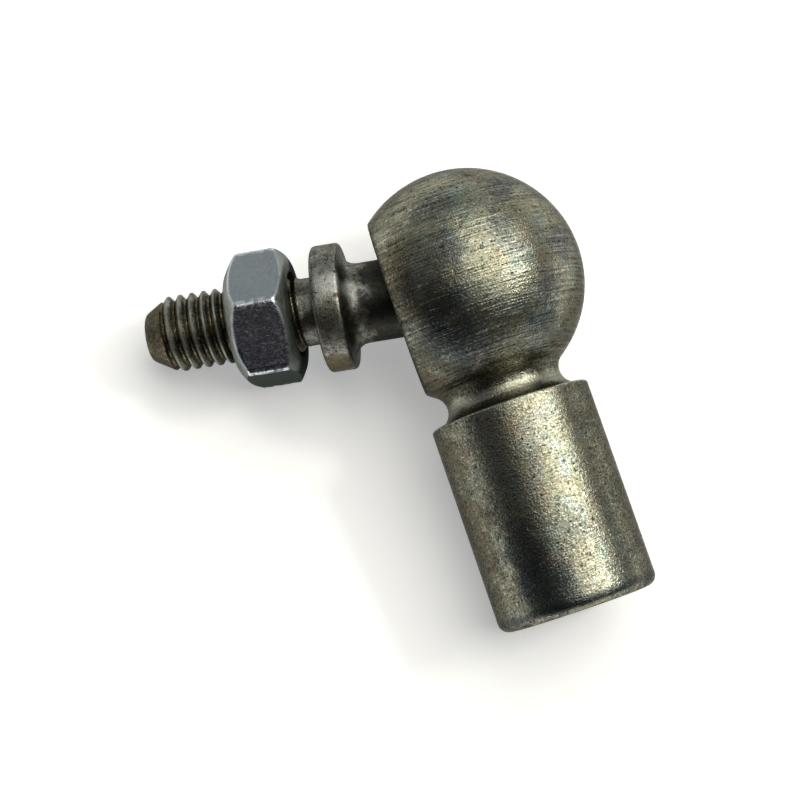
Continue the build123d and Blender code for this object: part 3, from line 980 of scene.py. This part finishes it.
def makeWireSteel():
    f = wireFinish
    material, tree, shader, local = newMetal("springWire", socketFrame)
    grain = useGroup(tree, metalGrain, {"Vector": local, **f["grain"]})["Grain"]
    colour = blended(tree, stepped(tree, grain, 0.7, 0.2), f["steel"], f["dark"])
    rough = timesPlus(tree, grain, -0.1, f["roughness"] + 0.05)
    finishMetal(tree, shader, colour, rough, grain, f["bumpHeight"])
    return material


wornZinc = makeZinc()
studSteel = makeStudSteel()
nutZinc = makeNutZinc()
springWire = makeWireSteel()
print("materials built")

makeSocket(wornZinc)
makeStud(studSteel)
makeNut(nutZinc)
# The snap ring keeps its solid's shape and only gets this finish
snapRing = frame["nodes"]["snap_ring"].data
snapRing.materials.clear()
snapRing.materials.append(springWire)
print("pieces built")


floorSizes = {"reach": 20.0, "colour": (0.86, 0.86, 0.86), "roughness": 0.9, "ownWhite": 0.35}


def makeFloor():
    s = floorSizes
    bm = bmesh.new()
    bmesh.ops.create_grid(bm, x_segments=1, y_segments=1, size=s["reach"])
    mesh = bpy.data.meshes.new("floor")
    bm.to_mesh(mesh)
    bm.free()
    ground = bpy.data.objects.new("floor", mesh)
    scene.collection.objects.link(ground)
    material = bpy.data.materials.new("paleFloor")
    material.use_nodes = True
    tree = material.node_tree
    shader = tree.nodes["Principled BSDF"]
    shader.inputs["Base Color"].default_value = (*s["colour"], 1)
    shader.inputs["Roughness"].default_value = s["roughness"]
    shader.inputs["Specular IOR Level"].default_value = 0
    shader.inputs["Emission Color"].default_value = (1, 1, 1, 1)
    rays = addNode(tree, "LightPath").outputs
    seen = highest(tree, rays["Is Camera Ray"], rays["Is Glossy Ray"], rays["Is Transmission Ray"])
    tree.links.new(times(tree, seen, s["ownWhite"]), shader.inputs["Emission Strength"])
    mesh.materials.append(material)


makeFloor()

roomLight = {
    "left": (0.065, 0.065, 0.065),
    "right": (0.12, 0.12, 0.115),
    "near": (0.06, 0.06, 0.06),
    "far": (0.285, 0.318, 0.330),
    # Where each change starts and ends along a direction's X, Y or Z
    "leftToRight": (-0.7, 0.7),
    "toNear": (-0.1, -0.6),
    "toFar": (0.25, 0.9),
    "toBackdrop": (0.12, 0.04),
    "patches": [
        # Colour, direction, and the angles where the patch starts and is full
        ((0.37, 0.37, 0.355), (-0.20, 0.42, 0.88), 42.0, 15.0),
        ((2.75, 2.70, 2.48), (0.38, 0.16, 0.91), 36.5, 28.5),
        ((0.034, 0.032, 0.036), (-0.55, -0.38, 0.74), 42.0, 28.0),
    ],
}


def makeRoom():
    # A soft room: a window overhead, a dimmer ceiling beside it and an unlit corner
    s = roomLight
    world = bpy.data.worlds.new("studioRoom")
    scene.world = world
    world.use_nodes = True
    tree = world.node_tree
    toward = addNode(tree, "TexCoord").outputs["Generated"]
    parts = splitUp(tree, toward)
    colour = blended(tree, stepped(tree, parts[0], *s["leftToRight"]), s["left"], s["right"])
    colour = blended(tree, stepped(tree, parts[1], *s["toNear"]), colour, s["near"])
    colour = blended(tree, stepped(tree, parts[1], *s["toFar"]), colour, s["far"])
    for tone, place, start, full in s["patches"]:
        nearness = dotWith(tree, toward, Vector(place).normalized())
        share = stepped(tree, nearness, cos(radians(start)), cos(radians(full)))
        colour = blended(tree, share, colour, tone)
    # The backdrop behind the part is white, and polished metal shows it above the floor's far edge
    rays = addNode(tree, "LightPath").outputs
    mirrored = highest(tree, rays["Is Glossy Ray"], rays["Is Transmission Ray"])
    mirrored = times(tree, mirrored, stepped(tree, parts[2], *s["toBackdrop"]))
    colour = blended(tree, highest(tree, rays["Is Camera Ray"], mirrored), colour, (1, 1, 1))
    tree.links.new(colour, tree.nodes["Background"].inputs["Color"])


makeRoom()

cameraSetup = {
    "fromBall": (-0.03679, -0.04867, 0.17625),
    "looksAlong": (0.14328, 0.21570, -0.96589),
    "upInView": (0.30520, 0.91877, 0.25045),
    "lens": 81.0,
    "nearest": 0.01,
}


def makeCamera():
    s = cameraSetup
    data = bpy.data.cameras.new("viewCamera")
    data.lens = s["lens"]
    data.clip_start = s["nearest"]
    camera = bpy.data.objects.new("viewCamera", data)
    scene.collection.objects.link(camera)
    back = -Vector(s["looksAlong"]).normalized()
    right = Vector(s["upInView"]).cross(back).normalized()
    turn = Matrix((right, back.cross(right), back)).transposed().to_4x4()
    camera.matrix_world = Matrix.Translation(ballCentre + Vector(s["fromBall"])) @ turn
    scene.camera = camera


windowLamp = {
    "direction": (0.64, -0.06, 0.77),
    "distance": 0.6,
    "width": 0.10,
    "height": 0.05,
    "power": 0.75,
    "colour": (1.0, 0.99, 0.90),
}


def makeLamp():
    s = windowLamp
    data = bpy.data.lights.new("windowLight", "AREA")
    data.shape = "RECTANGLE"
    data.size = s["width"]
    data.size_y = s["height"]
    data.energy = s["power"]
    data.color = s["colour"]
    lamp = bpy.data.objects.new("windowLight", data)
    scene.collection.objects.link(lamp)
    toward = Vector(s["direction"]).normalized()
    lamp.location = ballCentre + toward * s["distance"]
    lamp.rotation_euler = toward.to_track_quat("Z", "Y").to_matrix().to_euler()


makeCamera()
makeLamp()
scene.view_settings.view_transform = "Standard"
print("floor, room, camera and lamp placed")
